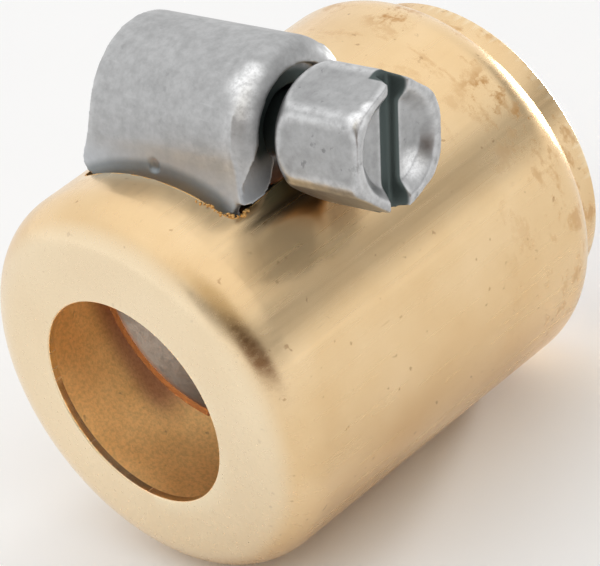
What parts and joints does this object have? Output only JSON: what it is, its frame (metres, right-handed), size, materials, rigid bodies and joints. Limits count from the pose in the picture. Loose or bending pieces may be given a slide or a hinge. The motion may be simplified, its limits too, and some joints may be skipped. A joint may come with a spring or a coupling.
{
  "type": "hose end sleeve with worm clamp",
  "caption": "Drawn brass hose-end sleeve with a front nipple hole, a rear hose collar and a worm-drive clamp whose slotted hex screw stands out of a window.",
  "frame": {"origin": "centre of the nipple hole on the sleeve's front face", "axes": "+Y along the sleeve axis towards the hose collar, +Z through the clamp housing, +X towards the screw head"},
  "size_m": [0.0233, 0.0259, 0.0269],
  "materials": {
    "brass_shell": "satin with fine tool marks and stains",
    "housing_steel": "matte rolled stainless sheet",
    "screw_steel": "satin, cold formed",
    "band_steel": "rolled strip"
  },
  "bodies": {
    "sleeve_and_clamp": {"sleeve_shell": "brass_shell", "clamp_housing": "housing_steel", "clamp_saddle": "housing_steel", "band_fixed_run": "band_steel"},
    "screw": {"worm_screw": "screw_steel"},
    "band_tail": {"band_slotted_tail": "band_steel"}
  },
  "joints": [
    {"name": "screw_turn", "type": "hinge", "parent": "sleeve_and_clamp", "child": "screw", "pos_m": [0, 0.00956, 0.0118], "axis": [-0.9979, -0.0645, 0], "range_deg": [-1080, 180]},
    {"name": "band_feed", "type": "hinge", "parent": "sleeve_and_clamp", "child": "band_tail", "pos_m": [0, 0.00956, 0.002], "axis": [-0.0645, 0.9979, 0], "range_deg": [-54, 9]}
  ],
  "couplings": [
    {"joint": "screw_turn", "follows": "band_feed", "ratio": 19.972}
  ]
}
